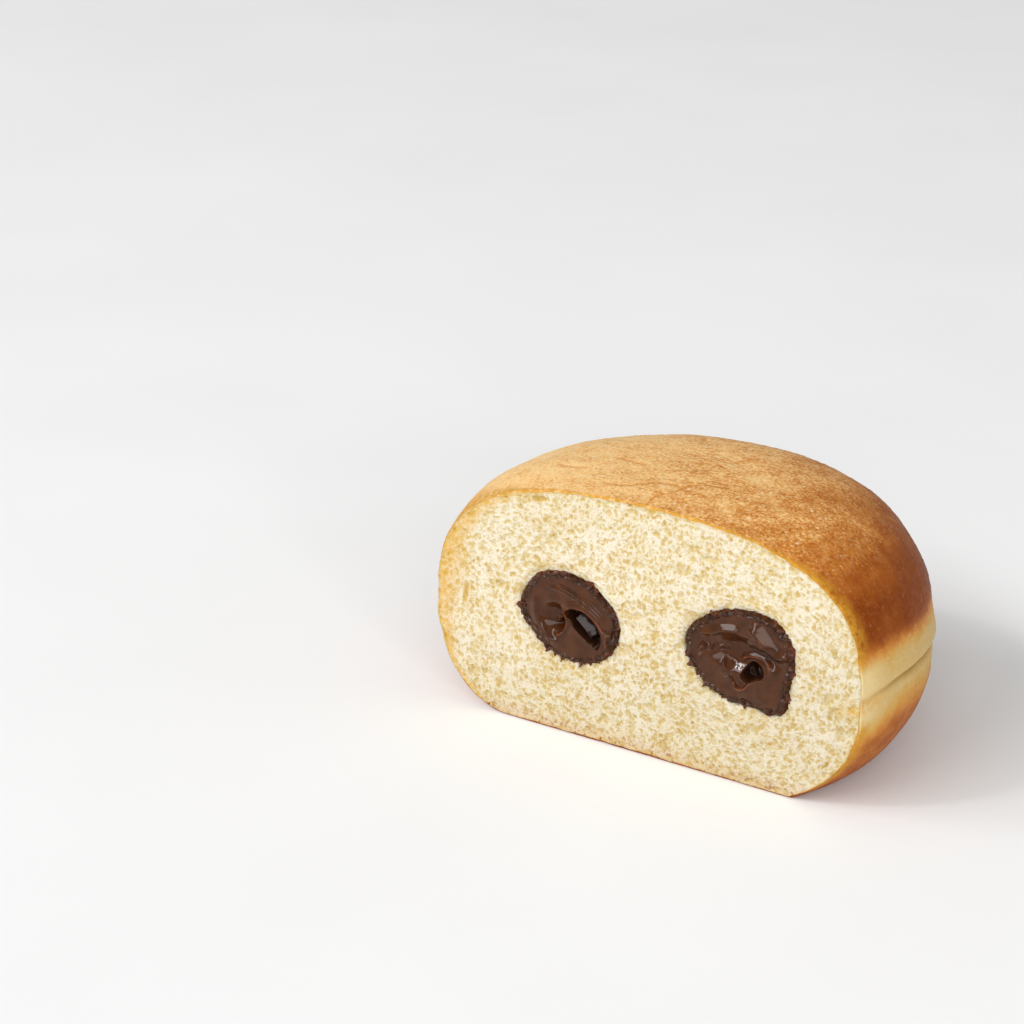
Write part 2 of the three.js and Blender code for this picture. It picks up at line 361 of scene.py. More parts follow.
# The crown's long wrinkles, seen from above: x and y.
WRINKLES = (
    ((-11.0, -8.0), (-9.1, -9.0), (-6.2, -8.4), (-3.8, -6.0), (-0.1, -4.3), (2.2, -6.1)),
    ((0.4, -13.7), (-0.2, -11.4), (-0.1, -9.6), (1.4, -7.1), (2.4, -3.7), (3.7, -1.8)),
    ((3.2, 8.2), (4.8, 12.1), (6.0, 14.1)),
    ((-13.0, 1.3), (-9.6, 1.2), (-7.1, 0.9)),
    ((12.5, -8.0), (13.2, -4.6), (13.6, -2.9)),
    ((-22.0, -3.0), (-18.5, -4.5), (-15.0, -3.5)),
)


def wrinkles(points):
    """Thin wrinkles in the crown's skin, from 0 to 1."""
    x, y, z = np.moveaxis(points, -1, 0)
    bent = 0.3 * gradient_noise(points, 2.0, 3)
    crease = np.zeros(x.shape)
    for knots in WRINKLES:
        away, along = beside_curve(x + bent, y + bent, knots)
        ends = smooth_step(along, 0.0, 0.15) * (1.0 - smooth_step(along, 0.85, 1.0))
        crease = np.maximum(crease, bell(away, 0.30) * ends)
    return crease * smooth_step(z, 32.0, 38.0)


def crust_relief(points):
    """How far the crust stands out from the plain form, in millimetres."""
    x, y, z = np.moveaxis(points, -1, 0)
    turn = turn_of(x, y)
    row = row_of(x, y, z)
    crown = smooth_step(row, 23.0, 27.0)
    belt = smooth_step(row, 12.0, 15.0) * (1.0 - crown)
    round_belt = np.stack([turn * HALF_WIDTH, turn * 0.0, row], axis=-1)
    uneven = 0.20 * gradient_noise(points, 15.0, 1) + 0.12 * gradient_noise(points, 6.0, 2)
    lip = 0.25 * belt_openness(turn) * bell(row - CREASE["height"] - 1.7, 1.2)
    streaks = gradient_noise(round_belt * np.array([0.3, 1.0, 1.0]), 1.1, 6)
    blisters = bumps(points, 1.1, 5, 0.6, 0.55)
    grain = gradient_noise(points, 0.8, 7)
    relief = uneven + lip - 0.13 * wrinkles(points) + 0.05 * streaks * belt
    relief = relief + (0.08 * blisters + 0.05 * grain) * (0.2 + 0.8 * crown)
    return relief * smooth_step(z, 0.0, 2.0)


def browning(points):
    """How brown the crust is, from 0 for the pale belt to 1 for the darkest part. Towards the right it also
    holds painted shade.
    """
    x, y, z = np.moveaxis(points, -1, 0)
    turn = turn_of(x, y)
    row = row_of(x, y, z)
    ragged = gradient_noise(np.stack([turn * 9.0, turn * 0.0, row * 0.4], axis=-1), 2.2, 31)
    fleck = gradient_noise(points, 1.3, 33)
    patch = gradient_noise(points, 9.0, 32)
    height = row + 0.4 * ragged + 0.5 * patch + 0.4 * fleck
    # Partly real browning and partly painted shade: the crust is browner towards the right, the side away
    # from the lamps.
    side = smooth_step(x, -30.0, 38.0)
    crown = smooth_step(height, 21.9, 28.4)
    top = 0.40 + 0.16 * side + (0.10 + 0.32 * side) * bell(height - 30.0, 9.0) + 0.07 * patch
    top = top - 0.14 * smooth_step(-x, 20.0, 36.0)
    lower_edge = 13.8 + 2.6 * smooth_step(turn, -0.34, -0.10)
    base = 1.0 - smooth_step(height, lower_edge - 4.5, lower_edge + 2.2)
    under = 0.74 + 0.20 * (1.0 - smooth_step(z, 0.0, 7.0)) + 0.08 * patch
    belt = mix(0.22, 0.06, smooth_step(x, -38.0, -20.0)) + 0.04 * ragged
    return np.clip(belt + (top - belt) * crown + (under - belt) * base, 0.0, 1.0)


def crease_colour_and_shade_of(points):
    """1 along the bottom of the belt's crease, fading to 0 beside it: where the crease's own ochre and its
    painted shade go.
    """
    x, y, z = np.moveaxis(points, -1, 0)
    row = row_of(x, y, z)
    return bell(row - CREASE["height"] + 0.1, 0.34) * belt_openness(turn_of(x, y))


def cut_edge_of(points):
    """1 at the edge of the cut, where the crust shows yellow, fading over an uneven way behind it."""
    x, y, z = np.moveaxis(points, -1, 0)
    behind = y - CUT
    row = row_of(x, y, z)
    rightness = smooth_step(x, 15.0, 38.0)
    leftness = smooth_step(-x, 18.0, 34.0)
    uneven = 0.45 * gradient_noise(points, 2.4, 35) + 0.35 * gradient_noise(points, 0.9, 36)
    width = np.maximum(0.15 + uneven + 0.3 * rightness + 1.2 * leftness, 0.0)
    edge = 1.0 - smooth_step(behind, width, width + 0.5 + 1.7 * rightness + 5.0 * leftness)
    pale = pale_belt(row) * (x > 0)
    flap = bell(behind - 1.0, 3.0) * bell(row - CREASE["height"] + 1.0, 1.1) * (x > 0)
    return np.maximum(edge * (1.0 - pale), 0.75 * flap) * smooth_step(z, 1.0, 5.0)


def pale_belt(row):
    """1 at the height of the pale belt, fading over its edges."""
    return smooth_step(row, 13.5, 16.5) * (1.0 - smooth_step(row, 23.0, 26.0))


def cream_of(points):
    """1 where the belt meets the cut on the right, where the crumb runs into it with no line between them."""
    x, y, z = np.moveaxis(points, -1, 0)
    uneven = 0.8 * gradient_noise(points, 2.0, 37)
    near_cut = 1.0 - smooth_step(y - CUT + uneven, 0.5, 6.5)
    return pale_belt(row_of(x, y, z)) * near_cut * smooth_step(x, 10.0, 25.0)


def crust():
    side = np.linspace(-1.0, 1.0, SKIN_GRID)
    p, q = square_to_disc(*np.meshgrid(side, side))
    level = p ** 2 + q ** 2
    stretch = np.sqrt(2.0 - level)
    directions = np.stack([p * stretch, 1.0 - level, q * stretch], axis=-1)
    plain = HEART + directions * reach(directions)[..., None]
    normals = np.cross(np.gradient(plain, axis=0), np.gradient(plain, axis=1))
    normals /= np.linalg.norm(normals, axis=-1, keepdims=True)
    normals *= np.sign(np.sum(normals * directions, axis=-1))[..., None]
    settle = smooth_step(directions[..., 1], 0.0, 0.03)[..., None]
    normals[..., 1] *= settle[..., 0]
    skin = plain + normals * crust_relief(plain)[..., None]
    skin[..., 2] = np.maximum(skin[..., 2], 0.0)

    shell = Shell()
    index = shell.add(skin)
    shell.grid(index)
    loop = edge_of(index)
    rim = skin.reshape(-1, 3)[loop]
    angles = np.arctan2(rim[:, 2] - HEART[2], rim[:, 0])
    outward = directions_of(angles, 0.0)
    radius = np.hypot(rim[:, 0], rim[:, 2] - HEART[2])
    rough = rim_noise(angles, 43)
    for i in range(1, RIM_STEPS + 1):
        bend = math.pi / 2.0 * i / RIM_STEPS
        inset = RIM_RADIUS * (1.0 - math.cos(bend)) + 0.14 * rough * math.sin(bend)
        ring = HEART + outward * (radius - inset)[:, None]
        ring[:, 1] = HEART[1] - RIM_RADIUS * math.sin(bend) * (1.0 - 0.35 * np.abs(rough))
        new = shell.add(ring)
        shell.bridge(loop, new)
        loop = new
    band = rim_band(angles)
    ring = HEART + outward * (radius - RIM_RADIUS - band)[:, None]
    ring[:, 1] = CUT + 0.02
    new = shell.add(ring)
    shell.bridge(loop, new)
    loop = new
    for i in range(HIDDEN_RINGS):
        lift = math.pi / 2.0 * i / HIDDEN_RINGS
        ways = directions_of(angles, lift)
        ring = HEART + ways * (reach(ways) - CRUST_THICKNESS)[:, None]
        new = shell.add(ring)
        shell.bridge(loop, new)
        loop = new
    back = np.array([0.0, 1.0, 0.0])
    tip = shell.add([HEART + back * (reach(back[None])[0] - CRUST_THICKNESS)])
    shell.cap(loop, tip[0])

    points = shell.all_points()
    marks = {
        "brown": browning(points),
        "cut_edge": cut_edge_of(points),
        "crease_colour_and_shade": crease_colour_and_shade_of(points),
        "cream": cream_of(points),
        "wrinkle": wrinkles(points),
        "top": smooth_step(points[:, 2], 31.0, 39.0),
        "grainy": smooth_step(points[:, 2], 25.0, 33.0),
    }
    shell.build("crust", crust_material(), ["dough"], marks)


def rim_noise(angles, seed):
    """Unevenness along the rim, with features of about 3 mm and of about 1 mm."""
    round_rim = np.stack([np.cos(angles), np.sin(angles), angles * 0.0], axis=-1)
    return gradient_noise(round_rim, 0.09, seed) + 0.6 * gradient_noise(round_rim, 0.035, seed + 1)


def rim_band(angles):
    """The width of the crust's edge in the cut: uneven, and wider to the right and along the base."""
    base = smooth_step(-np.sin(angles), 0.35, 0.5)
    wide = 0.02 + 0.10 * np.maximum(0.0, np.cos(angles)) * (np.sin(angles) > 0) + 0.16 * base
    return np.clip(wide + 0.16 * rim_noise(angles, 41), -0.2, 0.5)


# Crumb.

def rim_radius(angles):
    """The distance from the heart to the rim of the cut, at each angle."""
    return reach(directions_of(angles, 0.0))


PORE_SEED = 5
# Sizes of pores, from many fine ones to a few large ones: number, smallest and largest radius, and the
# strength of the painted shade and glow in them.
PORE_SIZES = ((3000, 0.13, 0.22, 0.8), (2000, 0.20, 0.36, 1.0), (480, 0.34, 0.55, 0.8), (60, 0.5, 0.9, 0.55))
# Pores that stand out: place on the cut, half length, half width, angle in degrees, depth, and the strength
# of their painted shade and glow.
NOTABLE_PORES = (
    (-32.2, 20.1, 1.9, 0.5, 84, 0.7, 1.5),
    (-18.7, 39.6, 1.8, 0.5, 8, 0.8, 1.5),
    (32.3, 18.5, 1.4, 0.9, 70, 0.8, 0.5),
    (34.6, 13.3, 1.5, 0.7, 80, 0.8, 0.5),
    (32.6, 7.3, 1.0, 0.2, 50, 0.7, 1.6),
    (8.5, 26.0, 1.6, 1.2, 40, 0.7, 0.4),
    (-3.1, 17.4, 1.2, 1.5, 80, 0.6, 0.45),
    (-5.1, 13.0, 1.6, 1.0, 20, 0.5, 0.45),
)
RASTER_LEFT = -41.0
RASTER_COLUMNS = 820
RASTER_ROWS = 450


def pore_depths():
    """The depth of the pores over the cut, in millimetres, and the strength of their painted shade and glow,
    on rasters of x by z.
    """
    random = np.random.default_rng(PORE_SEED)
    field = np.zeros((RASTER_ROWS, RASTER_COLUMNS))
    painted_pore_shares = np.zeros((RASTER_ROWS, RASTER_COLUMNS))
    pores = []
    for count, smallest, largest, painted_pore_share in PORE_SIZES:
        for _ in range(count):
            x = random.uniform(-38.0, 38.0)
            z = random.uniform(0.5, 42.5)
            size = random.uniform(smallest, largest)
            long = random.uniform(1.0, 1.9)
            # The rim's direction here: pores near the crust lie along it.
            slope_x = np.sign(x) * (abs(x) / 38.0) ** 2.5 / 38.0
            slope_z = np.sign(z - 20.5) * (abs(z - 20.5) / 21.5) ** 2.5 / 21.5
            along = math.degrees(math.atan2(slope_x, -slope_z))
            near_crust = min(1.0, math.hypot(slope_x * 38.0, slope_z * 21.5))
            loose = random.normal() * (72.0 - 50.0 * near_crust)
            depth = size * random.uniform(0.45, 0.95)
            stretch = math.sqrt(long)
            pores.append((x, z, size * stretch, size / stretch, along + loose, depth, painted_pore_share))
    for x, z, half_length, half_width, angle, depth, painted_pore_share in pores + list(NOTABLE_PORES):
        span = half_length + 2 * RASTER
        first_column = max(0, int((x - span - RASTER_LEFT) / RASTER))
        last_column = min(RASTER_COLUMNS, int((x + span - RASTER_LEFT) / RASTER) + 2)
        first_row = max(0, int((z - span) / RASTER))
        last_row = min(RASTER_ROWS, int((z + span) / RASTER) + 2)
        if last_column <= first_column or last_row <= first_row:
            continue
        dx = RASTER_LEFT + np.arange(first_column, last_column) * RASTER - x
        dz = np.arange(first_row, last_row) * RASTER - z
        c = math.cos(math.radians(angle))
        s = math.sin(math.radians(angle))
        along = (dx[None] * c + dz[:, None] * s) / half_length
        across = (dz[:, None] * c - dx[None] * s) / half_width
        away = along ** 2 + across ** 2
        shape = np.sqrt(np.clip(1.0 - away, 0.0, 1.0))
        window = field[first_row:last_row, first_column:last_column]
        np.maximum(window, depth * shape, out=window)
        window = painted_pore_shares[first_row:last_row, first_column:last_column]
        np.maximum(window, painted_pore_share * np.minimum(1.0, 1.5 * shape), out=window)
    return field, painted_pore_shares


def sample(field, x, z):
    """The raster's value at each place, between its four nearest points."""
    column = np.clip((x - RASTER_LEFT) / RASTER, 0, RASTER_COLUMNS - 1.001)
    row = np.clip(z / RASTER, 0, RASTER_ROWS - 1.001)
    i = row.astype(int)
    j = column.astype(int)
    down = row - i
    right = column - j
    upper = field[i, j] * (1 - right) + field[i, j + 1] * right
    lower = field[i + 1, j] * (1 - right) + field[i + 1, j + 1] * right
    return upper * (1 - down) + lower * down


def pocket_radius(pocket, angles):
    """A pocket's radius at each angle: round, with lobes."""
    degrees = np.degrees(angles)
    radius = np.full(angles.shape, pocket["radius"])
    for at, out, spread in pocket["lobes"]:
        away = (degrees - at + 540.0) % 360.0 - 180.0
        radius = radius + out * bell(away, spread)
    return radius


def puckers(pocket, u, w, away):
    """Fine folds of crumb that run round a pocket at its upper right, as depths."""
    degrees = np.degrees(np.arctan2(w, u))
    near = bell(degrees - 48.0, 38.0) * bell(away - 0.9, 1.2) * (away > 0)
    wander = gradient_noise(np.stack([u, u * 0.0, w], axis=-1), 1.6, pocket["seed"] + 5)
    return 0.13 * near * np.sin(away * 9.0 + 3.0 * wander)


def golden_share(x, z, to_rim):
    """How golden the crumb is: a wide band at the left rim and at the crease, and a thin one above."""
    left = smooth_step(-x, 12.0, 36.0)
    right = smooth_step(x, 24.0, 34.0)
    width = 0.7 + 6.5 * left * bell(z - 24.0, 13.0)
    share = (1.0 - smooth_step(to_rim, 0.0, width)) * (0.6 + 0.3 * left)
    share = share * (1.0 - right * smooth_step(z, 14.5, 17.0) * (1.0 - smooth_step(z, 23.0, 26.0)))
    return np.maximum(share, 0.7 * right * bell(z - 17.6, 1.0) * (1.0 - smooth_step(to_rim, 0.5, 5.0)))


def crumb():
    columns = np.linspace(-1.0, 1.0, FACE_COLUMNS)
    rows = np.linspace(-1.0, 1.0, FACE_ROWS)
    p, q = square_to_disc(*np.meshgrid(columns, rows))
    angles = np.arctan2(q, p)
    table = np.linspace(-math.pi, math.pi, 2000)
    radius = np.interp(angles, table, rim_radius(table))
    edge = radius - 0.6 * RIM_RADIUS - rim_band(angles)
    share = np.hypot(p, q)
    x = share * edge * np.cos(angles)
    z = HEART[2] + share * edge * np.sin(angles)
    flat = np.stack([x, x * 0.0, z], axis=-1)
    warp_x = 0.22 * gradient_noise(flat, 1.1, 51) + 0.10 * gradient_noise(flat, 0.45, 52)
    warp_z = 0.22 * gradient_noise(flat, 1.1, 53) + 0.10 * gradient_noise(flat, 0.45, 54)
    depths, painted_pore_shares = pore_depths()
    pits = sample(depths, x + warp_x, z + warp_z)
    # How strongly each point shows the pores' painted shade and glow.
    painted_pore_share = sample(painted_pore_shares, x + warp_x, z + warp_z)
    to_rim = np.minimum((1.0 - share) * edge, z)
    fine = 0.05 * gradient_noise(flat, 0.6, 55) + 0.12 * gradient_noise(flat, 2.5, 56)
    calm = smooth_step(to_rim, 0.0, 0.5)
    depth = (pits * 0.55 + fine) * (0.15 + 0.85 * calm) - 0.05 * (1.0 - calm)
    shift = np.zeros_like(x)
    beside_paste = np.zeros_like(x)
    for pocket in (LEFT, RIGHT):
        u = x - pocket["centre"][0]
        w = z - pocket["centre"][1]
        outline = pocket_radius(pocket, np.arctan2(w, u)) - POCKET_OVERLAP
        inward = 1.0 - np.hypot(u, w) / outline
        away = -inward * outline
        beside = bell(np.maximum(away, 0.0), 0.8)
        depth = depth + POCKET_LIP * beside * (away > 0)
        depth = depth + puckers(pocket, u, w, away)
        beside_paste = np.maximum(beside_paste, beside)
        inside = inward > 0
        way = np.where(inside, np.clip(1.0 - (1.0 - inward) ** 2, 0.0, 1.0) ** (1.0 / 2.4), 0.0)
        depth = np.where(inside, PASTE_RECESS + 0.3 + way * pocket["length"], depth)
        shift = shift + pocket["drift"] * way
    face = np.stack([x + shift, CUT + depth, z], axis=-1)

    shell = Shell()
    index = shell.add(face)
    shell.grid(index)
    loop = edge_of(index)
    loop_angles = angles.ravel()[loop]
    for i in range(HIDDEN_RINGS):
        lift = math.pi / 2.0 * i / HIDDEN_RINGS
        ways = directions_of(loop_angles, lift)
        ring = HEART + ways * (reach(ways) - CRUST_THICKNESS + CRUST_OVERLAP)[:, None]
        new = shell.add(ring)
        shell.bridge(loop, new)
        loop = new
    back = np.array([0.0, 1.0, 0.0])
    tip = shell.add([HEART + back * (reach(back[None])[0] - CRUST_THICKNESS + CRUST_OVERLAP)])
    shell.cap(loop, tip[0])

    hidden = np.zeros(shell.count - face[..., 0].size)
    marks = {
        "pore_shade_and_glow": np.concatenate([painted_pore_share.ravel(), hidden]),
        "golden": np.concatenate([golden_share(x, z, to_rim).ravel(), hidden]),
        "beside_paste": np.concatenate([beside_paste.ravel(), hidden]),
        "from_base": np.concatenate([z.ravel(), hidden]),
        # Painted shade: darker towards the bottom and the right of the cut.
        "painted_shade": np.concatenate([smooth_step(0.3 * x - z, -30.0, -4.0).ravel(), hidden]),
    }
    shell.build("crumb", crumb_material(), ["dough"], marks)


# Chocolate paste.

def fold(u, w, knots, height, left, right, taper=0.15):
    """A fold along a curve, with a width of its own on each side, tapered at both ends."""
    distance, along = beside_curve(u, w, knots)
    width = np.where(distance > 0, left, right)
    ends = smooth_step(along, -0.001, taper) * (1.0 - smooth_step(along, 1.0 - taper, 1.001))
    return height * bell(distance, width) * mix(0.35, 1.0, ends)


def round_bump(u, w, at, radius, height):
    return height * bell(np.hypot(u - at[0], w - at[1]), radius)


def leaf(u, w, knots, depth, widest, edge):
    """A hollow along a curve, widest in its middle, with steep sides: edge is their share of its width."""
    distance, along = beside_curve(u, w, knots)
    width = widest * (0.12 + 0.88 * np.sin(math.pi * np.clip(along, 0.0, 1.0) ** 0.85) ** 0.8)
    return -depth * (1.0 - smooth_step(np.abs(distance) / width, 1.0 - edge, 1.0))


def band(u, w, knots, height, width, back):
    """A fold with a plain slope on its left side, which catches the light, and a short back."""
    distance, along = beside_curve(u, w, knots)
    slope = np.where(distance > 0, np.clip(1.0 - distance / width, 0.0, 1.0), bell(distance, back))
    ends = smooth_step(along, -0.001, 0.15) * (1.0 - smooth_step(along, 0.85, 1.001))
    return height * slope * ends


# The left filling's curves, from the middle of its pocket: the lip round the curl, the arm over the hollow,
# the hollow, the tongue of paste that lies in it, and the ridge down its right end.
LEFT_CURL = ((-1.2, 1.3), (-0.6, 0.4), (-0.4, -0.9), (-0.7, -2.1), (-1.5, -3.2), (-2.4, -3.0))
LEFT_ARM = ((-0.9, 1.1), (0.8, 1.9), (2.7, 2.1), (4.6, 1.0), (6.1, -0.6), (6.8, -2.4), (6.7, -4.0))
LEFT_HOLLOW = ((-0.5, 0.9), (1.5, 0.5), (3.3, -0.9), (4.6, -2.6), (5.2, -4.2))
LEFT_TONGUE = ((0.3, 0.3), (1.7, -0.8), (2.9, -2.1), (3.9, -3.6))
LEFT_RIDGE = ((6.9, -1.6), (7.4, -3.4), (7.0, -5.0), (6.7, -6.4))


def left_relief(u, w):
    """The left filling's face: a swirl that winds into a small curl, with a deep hollow beside it."""
    height = 0.55 * bell(np.hypot(u, w), 7.5)
    bowl = np.hypot((u + 2.5) / 3.7, (w + 0.8) / 3.5)
    height = height - 1.35 * (1.0 - smooth_step(bowl, 0.30, 1.02))
    crescent = ((-5.4, 2.2), (-6.2, 0.5), (-5.3, -1.9), (-3.5, -4.2), (-1.3, -4.7))
    height = height + fold(u, w, crescent, 0.42, 0.45, 0.75)
    height = height - round_bump(u, w, (-1.9, -1.7), 0.95, 1.3)
    height = height + round_bump(u, w, (-2.2, -1.4), 0.50, 1.30)
    height = height + round_bump(u, w, (-1.6, -2.9), 0.38, 0.45)
    height = height + leaf(u, w, LEFT_HOLLOW, 2.6, 1.95, 0.16)
    height = height + band(u, w, LEFT_TONGUE, 1.60, 2.00, 0.22)
    height = height + fold(u, w, LEFT_CURL, 0.95, 0.42, 0.25)
    height = height + fold(u, w, LEFT_ARM, 0.55, 1.3, 0.20)
    height = height - fold(u, w, ((-2.2, 5.3), (0.8, 4.5), (3.9, 3.1)), 0.34, 0.30, 0.16)
    height = height - fold(u, w, ((0.6, 3.9), (2.4, 3.4), (3.8, 2.6)), 0.22, 0.18, 0.14)
    height = height + fold(u, w, ((-3.8, 4.6), (-0.6, 4.2), (2.6, 3.1)), 0.16, 0.40, 0.30)
    height = height - fold(u, w, ((5.4, 0.7), (6.9, -0.4), (8.8, -1.0)), 0.55, 0.20, 0.35)
    height = height + fold(u, w, LEFT_RIDGE, 0.75, 0.35, 0.25)
    height = height - fold(u, w, ((7.9, -0.8), (8.4, -2.6), (8.0, -4.6)), 0.70, 0.35, 0.40)
    height = height - fold(u, w, ((-8.6, 2.6), (-8.2, -0.6), (-7.0, -3.0)), 0.40, 0.45, 0.35)
    above_arm, along = beside_curve(u, w, LEFT_ARM)
    drawn = bell(above_arm - 1.7, 1.2) * smooth_step(along, 0.05, 0.25)
    drawn = drawn * (1.0 - smooth_step(along, 0.45, 0.7))
    return height + 0.045 * drawn * np.sin(above_arm * 13.0)


# The right filling's curves: the light folds above its basin, the ridge over its hollow, and the tip
# below it.
RIGHT_UPPER = ((-7.6, 2.7), (-6.2, 3.1), (-4.6, 3.5), (-3.2, 4.2), (-1.5, 4.6), (0.4, 4.7))
RIGHT_BEND = ((1.2, 5.6), (2.8, 5.3), (3.9, 4.3), (4.9, 3.0), (6.1, 2.0), (7.4, 2.2), (8.6, 3.8))
RIGHT_RIDGE = ((0.2, -0.6), (1.2, 0.3), (3.0, 0.6), (4.6, 0.1), (5.4, -0.9))
RIGHT_TIP = ((-0.6, -3.5), (0.3, -4.6), (1.5, -4.5), (2.6, -3.1))


def right_hollow_radius(u, w):
    """The distance from the middle of the right filling's uneven hollow, as a share of its radius."""
    angle = np.arctan2(w + 1.9, u - 2.4)
    radius = 1.75 + 0.35 * np.sin(2.0 * angle + 0.6) + 0.22 * np.sin(3.0 * angle + 2.0)
    return np.hypot(u - 2.4, w + 1.9) / radius


def right_relief(u, w):
    """The right filling's face: a basin under wavy folds, with a small ring of paste low in it."""
    basin = np.hypot((u - 0.2) / 6.3, (w - 0.8) / 3.5)
    height = 0.55 * bell(np.hypot(u, w), 8.0)
    height = height - 1.25 * (1.0 - smooth_step(basin, 0.40, 1.0))
    height = height + band(u, w, RIGHT_UPPER, 0.62, 0.95, 0.60)
    height = height + band(u, w, RIGHT_BEND, 1.02, 1.40, 0.70)
    height = height + band(u, w, ((1.0, 2.4), (2.4, 2.9), (4.0, 2.2)), 0.50, 0.75, 0.70)
    height = height + fold(u, w, ((3.4, 4.0), (4.5, 2.5), (5.0, 1.6)), 0.35, 0.35, 0.30)
    height = height + band(u, w, ((-6.4, -1.8), (-6.5, 0.2), (-5.6, 1.6)), 0.60, 0.55, 0.90)
    height = height + fold(u, w, ((-4.5, 1.6), (-4.8, 0.3)), 0.38, 0.28, 0.28)
    height = height + fold(u, w, ((-3.7, 0.7), (-2.9, 1.2), (-2.0, 0.9)), 0.42, 0.26, 0.26)
    height = height - fold(u, w, ((-3.4, 0.4), (-2.8, 0.7), (-2.2, 0.5)), 0.20, 0.16, 0.16)
    height = height + fold(u, w, ((-2.6, -0.8), (-2.2, -1.8), (-1.3, -2.3)), 0.45, 0.30, 0.24)
    height = height + fold(u, w, ((-2.3, -3.0), (-1.4, -3.9), (-0.2, -3.4)), 0.50, 0.32, 0.26)
    height = height + round_bump(u, w, (-0.9, -3.2), 0.3, 0.4)
    height = height + round_bump(u, w, (-5.9, 0.7), 0.55, 0.60)
    height = height + round_bump(u, w, (-6.2, -0.7), 0.45, 0.50)
    height = height - round_bump(u, w, (-0.4, 0.8), 1.6, 0.35)
    height = height - 2.3 * (1.0 - smooth_step(right_hollow_radius(u, w), 0.60, 1.0))
    height = height + fold(u, w, ((1.6, -1.2), (2.2, -1.9), (2.9, -2.9)), 1.1, 0.22, 0.30)
    height = height + round_bump(u, w, (3.4, -1.9), 0.35, 0.6)
    height = height + fold(u, w, RIGHT_RIDGE, 0.50, 0.6, 0.25)
    height = height + fold(u, w, RIGHT_TIP, 1.0, 0.26, 0.5, 0.3)
    height = height + round_bump(u, w, (4.6, -5.2), 3.2, 0.5)
    height = height - round_bump(u, w, (5.6, 0.9), 1.6, 0.9)
    height = height - fold(u, w, ((-7.9, -3.6), (-5.6, -5.9), (-2.4, -7.2)), 0.34, 0.20, 0.35)
    height = height - fold(u, w, ((0.6, -6.9), (2.6, -7.4), (4.0, -8.4)), 0.55, 0.5, 0.35)
    return height


# Painted shade: 1 in the left filling's hollow, where the paste is coloured near black.
def left_hollow(u, w):
    return -leaf(u, w, LEFT_HOLLOW, 1.0, 2.05, 0.12)


# Painted shade: 1 in the right filling's hollow and less in the dip below its bend, where the paste is
# coloured near black.
def right_hollow(u, w):
    deep = 1.0 - smooth_step(right_hollow_radius(u, w), 0.75, 1.0)
    return np.maximum(deep, 0.6 * bell(np.hypot((u - 4.2) / 2.4, (w - 0.9) / 1.0), 1.0))


# The teeth of the paste's edge: how many round it, their height and the share of them that is there.
TEETH = ((31, 0.80, 0.72), (61, 0.50, 0.75), (97, 0.26, 0.85))
TEETH_INSET = 0.45


def teeth(angles, pocket):
    """The ragged edge of the paste: pointed teeth of mixed sizes, with plain stretches between them."""
    seed = pocket["seed"]
    random = np.random.default_rng(seed)
    from_torn = (angles - pocket["torn_at"] + math.pi) % (2 * math.pi) - math.pi
    torn_more = pocket["torn_more"] * bell(from_torn, 0.6)
    ring = np.stack([np.cos(angles), np.sin(angles), angles * 0.0], axis=-1)
    shifted = angles + 0.10 * gradient_noise(ring, 0.35, seed + 7)
    lively = 0.75 + 0.75 * gradient_noise(ring, 0.6, seed + 8)
    out = np.zeros(angles.shape)
    for count, height, share in TEETH:
        heights = random.uniform(0.2, 1.0, size=count) * (random.uniform(size=count) < share)
        leans = random.uniform(0.25, 0.75, size=count)
        place = (shifted / (2.0 * math.pi) % 1.0) * count
        cell = np.minimum(place.astype(int), count - 1)
        part = place - cell
        lean = leans[cell]
        rise = np.where(part < lean, part / lean, (1.0 - part) / (1.0 - lean))
        out = out + height * heights[cell] * rise ** 0.6
    return out * (np.clip(lively, 0.3, 1.5) + torn_more) - TEETH_INSET


